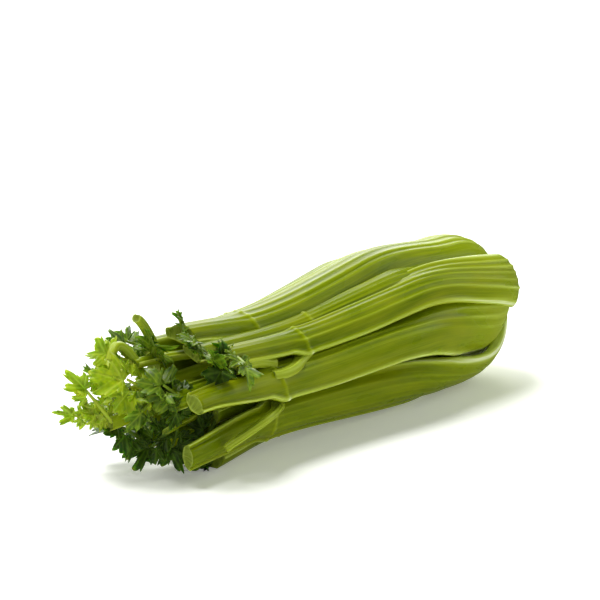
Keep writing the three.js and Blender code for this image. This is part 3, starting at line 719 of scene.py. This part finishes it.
def leafletPart(foot, along, across, length, half, curl, seed):
    # polar about where the veins part: rho times the outline's reach, as two skins that meet at the edge,
    # folded up from the midrib, bent by the curl's square and waved by sines of theta
    rng = np.random.default_rng(seed)
    up = np.cross(along, across)
    theta = np.linspace(-np.pi, np.pi, 136, endpoint=False)[None, :]
    inwards = np.linspace(0, 1, 11)
    rho = np.concatenate([inwards, inwards[-2::-1]])[:, None]
    side = np.where(np.arange(len(rho)) < len(inwards), 1, -1)[:, None]
    reach = rho * outlineReach(theta, rng)
    parting = blade["veinsPart"]
    x = length * (parting + np.where(np.cos(theta) > 0, 1 - parting, parting) * reach * np.cos(theta))
    y = blade["breadth"] * half * reach * np.sin(theta)
    far = x / length
    vein = bump(y, 0, blade["veinWidth"]) * (1 - 0.6 * far)
    for angle, _ in blade["lobes"][1:]:
        off = np.abs(theta - np.radians(angle)) * reach * half
        vein = np.maximum(vein, 0.55 * bump(off, 0, blade["sideVeinWidth"]))
    branches = 0.5 + 0.5 * np.cos(blade["branches"] * np.pi * (far - 0.9 * np.abs(y) / length))
    vein = np.maximum(vein, 0.4 * branches ** 6)
    wave, twist = rng.uniform(0, 6.28), rng.uniform(-0.6, 0.6)
    height = blade["fold"] * np.abs(y) - blade["easing"] * y * y / half + twist * y * far
    height = height - curl * length * far ** 2 - blade["veinDepth"] * vein * side
    waves = blade["waveHeight"] * np.sin(blade["waves"] * theta + wave)
    crinkles = blade["crinkleHeight"] * np.sin(blade["crinkles"] * theta + 2 * wave)
    height = height + half * (waves * reach ** 2 + crinkles * reach ** 3)
    height = height + side * blade["thickness"] / 2 * np.sqrt(1 - rho ** 4)
    points = foot + along * x[..., None] + across * y[..., None] + up * height[..., None]
    return gridPart(points, {"vein": np.clip(vein, 0, 1)})


def leafParts(leaf, seed):
    # the end blade from the stem's end to the tip, and pairs of smaller ones that lean out from the stem
    rng = np.random.default_rng(seed)
    foot, tip = midrib(leaf, leaf["stem"]), midrib(leaf, 1.0)
    length = np.linalg.norm(tip - foot)
    along = unit(tip - foot)
    across = acrossBlade(leaf, leaf["stem"])
    across = unit(across - along * (across @ along))
    half = leaf["width"] / 2
    curl = rng.uniform(-0.25, 0.45)
    parts = [leafletPart(foot, along, across, length, half, curl, seed)]
    for number, (height, degrees, size) in enumerate(blade["leaflets"]):
        foot = midrib(leaf, leaf["stem"] * height)
        c, k = np.cos(np.radians(degrees)), np.sin(np.radians(degrees))
        turned = rng.uniform(-0.7, 0.7)
        out, side = along * c + across * k, across * c - along * k
        side = side * np.cos(turned) + np.cross(out, side) * np.sin(turned)
        reach = min(size * length, blade["longest"] * half)
        parts.append(leafletPart(foot, out, side, reach, size * half, curl + 0.2, seed + 100 * number + 7))
    return parts


def leafStemPart(leaf, radius, seed):
    # a tapering stem along the midrib's first part, which runs on a little under the blade
    t = np.linspace(0, min(leaf["stem"] + 0.12, 1), 26)
    path = midrib(leaf, t)
    taper = radius * (1 - (0.45 if leaf["width"] else 0.12) * t / t[-1])
    corners, faces, marks = sweepPart(path, taper, 0.4, seed, 0.28, 24)
    if leaf["width"]:
        marks = {"vein": np.full(len(corners), 0.75)}  # it has a blade's finish, as pale as a small vein
    return corners, faces, marks


for number, leaf in enumerate(leaves):
    if leaf["width"] == 0:
        stem = leafStemPart(leaf, blade["bareStemRadius"], number)
        makePiece(leaf["name"], [stem], innerSkin)
        continue
    stem = leafStemPart(leaf, blade["stemRadius"], number)
    paintedShading = leaf.get("paintedShading", "bright")
    makePiece(leaf["name"], leafParts(leaf, 40 + number) + [stem], leafPaintedShadings[paintedShading])
print("leaves and loose side stems made:", len(leaves))

buttLook = {
    "cream": (0.58, 0.56, 0.33),
    "brown": (0.28, 0.19, 0.08),
    "green": (0.42, 0.46, 0.17),
    "faceHollow": 0.8,  # in mm
    "grainScale": 420,  # noise cells per metre
    "blotchScale": 90,
    "roughness": 0.62,
    "strandRing": 14,  # the radius of the ring of strands
}


def buttMaterial():
    # cream cut stem, browner in the middle and at its rim, with a ring of strands
    material, nodes, links, shader = newMaterial("buttCut")
    place3d = nodes.new("ShaderNodeTexCoord").outputs["Object"]
    grain = nodes.new("ShaderNodeTexNoise")
    grain.inputs["Scale"].default_value = buttLook["grainScale"]
    grain.inputs["Detail"].default_value = 6
    links.new(place3d, grain.inputs["Vector"])
    blotch = nodes.new("ShaderNodeTexNoise")
    blotch.inputs["Scale"].default_value = buttLook["blotchScale"]
    links.new(place3d, blotch.inputs["Vector"])
    stain = mathNode(nodes, links, "MULTIPLY", readMark(nodes, "stain"), blotch.outputs["Fac"], True)
    stain = rampNode(nodes, links, stain, ((0.08, 0.0), (0.45, 0.9)))
    cream = mixColour(nodes, links, grain.outputs["Fac"], buttLook["cream"], buttLook["green"])
    colour = mixColour(nodes, links, stain, cream, buttLook["brown"])
    links.new(colour, shader.inputs["Base Color"])
    shader.inputs["Roughness"].default_value = buttLook["roughness"]
    shader.inputs["Subsurface Weight"].default_value = 0.15
    shader.inputs["Subsurface Scale"].default_value = 2 * mm
    relief = nodes.new("ShaderNodeBump")
    relief.inputs["Strength"].default_value = 0.5
    relief.inputs["Distance"].default_value = 0.4 * mm
    links.new(grain.outputs["Fac"], relief.inputs["Height"])
    links.new(relief.outputs[0], shader.inputs["Normal"])
    return material


def buttPart():
    # a profile of (r, s) turned about the axis: a cut face, then a cone stepped in at each layer of stalks
    rim, rise, hollow = buttEdge, head["layerRise"], buttLook["faceHollow"]
    share = np.linspace(0.06, 0.96, 22)
    face = np.stack([rim * share, hollow * (1 - share ** 2) + 0.12 * np.sin(14 * share)], axis=1)
    layer = np.arange(head["layers"])
    cone = np.stack([np.repeat(rim - head["buttStep"] * layer, 2),
                     np.stack([rise * layer + 0.9, rise * (layer + 1) - 1.2], axis=1).ravel()], axis=1)
    profile = np.concatenate([[(0, hollow)], face, [(rim, 0.5)], cone, [(0, head["layers"] * rise)]])
    r, s = profile.T[..., None]
    turn = (np.arange(96) * 2 * np.pi / 96)[None, :]
    wobble = 1 - 0.012 * (1 + np.sin(5 * turn + 0.4)) * smooth(2, 20, r)
    points = place(s + 0 * turn, r * wobble, turn)
    onFace = smooth(1.6, 0.9, s)
    strands = 0.55 * bump(r, buttLook["strandRing"], 1.6)
    stain = onFace * np.clip(bump(r, 0, 6) + 0.9 * bump(r, rim, 2.6) + strands, 0, 1)
    return gridPart(points, {"stain": stain + 0 * turn})


makePiece("butt", [buttPart()], buttMaterial())
print("butt made")

setting = {
    "cameraAzimuth": -51.2,  # degrees, with 0 looking along +Y
    "cameraElevation": 12.9,
    "cameraDistance": 1.116,
    "lens": 120,  # in mm
    "aim": (-180.9, 0, 24.0),  # in millimetres of head coordinates
    "floorSize": 16,
    "floorDrop": 0.0004,  # so that it doesn't share the head's lowest faces
    "floorGlow": 0.2,
    "skyColour": (0.85, 1, 0.5),
    "skyStrength": 0.2,
    "sunStrength": 3.3,
    "sunWidth": 30,
    # each soft lamp's place, its width in metres and its power in watts
    "lamps": {"backSoft": ((0.75, 0.9, 0.8), 1.2, 17), "frontSoft": ((-0.9, -1.1, 0.9), 1.2, 2.5),
              "buttSoft": ((1.3, -0.7, 0.8), 0.9, 4)},
}


def makeFloor():
    half, z = setting["floorSize"] / 2, -setting["floorDrop"]
    mesh = bpy.data.meshes.new("floor")
    corners = [(-half, -half, z), (half, -half, z), (half, half, z), (-half, half, z)]
    mesh.from_pydata(corners, [], [(0, 1, 2, 3)])
    material, _, _, shader = newMaterial("paleFloor")
    shader.inputs["Base Color"].default_value = (0.93, 0.93, 0.93, 1)
    shader.inputs["Roughness"].default_value = 0.9
    shader.inputs["Specular IOR Level"].default_value = 0.1
    shader.inputs["Emission Color"].default_value = (1, 1, 1, 1)
    shader.inputs["Emission Strength"].default_value = setting["floorGlow"]
    mesh.materials.append(material)
    floor = bpy.data.objects.new("floor", mesh)
    bpy.context.scene.collection.objects.link(floor)
    floor.visible_glossy = False  # so that it lights the head without a mirror image in its skin


def pointAt(thing, target):
    direction = Vector(target) - thing.location
    thing.rotation_euler = direction.to_track_quat("-Z", "Y").to_euler()


def makeLights(aim):
    sky = bpy.data.worlds.new("softSky")
    sky.use_nodes = True
    sky.node_tree.nodes["Background"].inputs[0].default_value = (*setting["skyColour"], 1)
    sky.node_tree.nodes["Background"].inputs[1].default_value = setting["skyStrength"]
    bpy.context.scene.world = sky
    sun = bpy.data.lights.new("overhead", "SUN")
    sun.energy = setting["sunStrength"]
    sun.angle = np.radians(setting["sunWidth"])
    above = bpy.data.objects.new("overhead", sun)
    above.location = (-0.3, 0.5, 1.5)
    pointAt(above, (0, 0, 0))
    bpy.context.scene.collection.objects.link(above)
    for name, (spot, size, power) in setting["lamps"].items():
        light = bpy.data.lights.new(name, "AREA")
        light.energy = power
        light.size = size
        lamp = bpy.data.objects.new(name, light)
        lamp.location = spot
        pointAt(lamp, aim)
        bpy.context.scene.collection.objects.link(lamp)


def makeCamera(aim):
    azimuth, elevation = np.radians(setting["cameraAzimuth"]), np.radians(setting["cameraElevation"])
    level = np.cos(elevation)
    away = np.array([np.sin(azimuth) * level, -np.cos(azimuth) * level, np.sin(elevation)])
    data = bpy.data.cameras.new("camera")
    data.lens = setting["lens"]
    data.sensor_width = 36
    data.clip_end = 60
    camera = bpy.data.objects.new("camera", data)
    camera.location = aim + away * setting["cameraDistance"]
    pointAt(camera, aim)
    bpy.context.scene.collection.objects.link(camera)
    bpy.context.scene.camera = camera


aim = np.array(setting["aim"]) * mm + axisStart
makeFloor()
makeLights(aim)
makeCamera(aim)
bpy.context.scene.view_settings.view_transform = "Standard"
print("setting made")
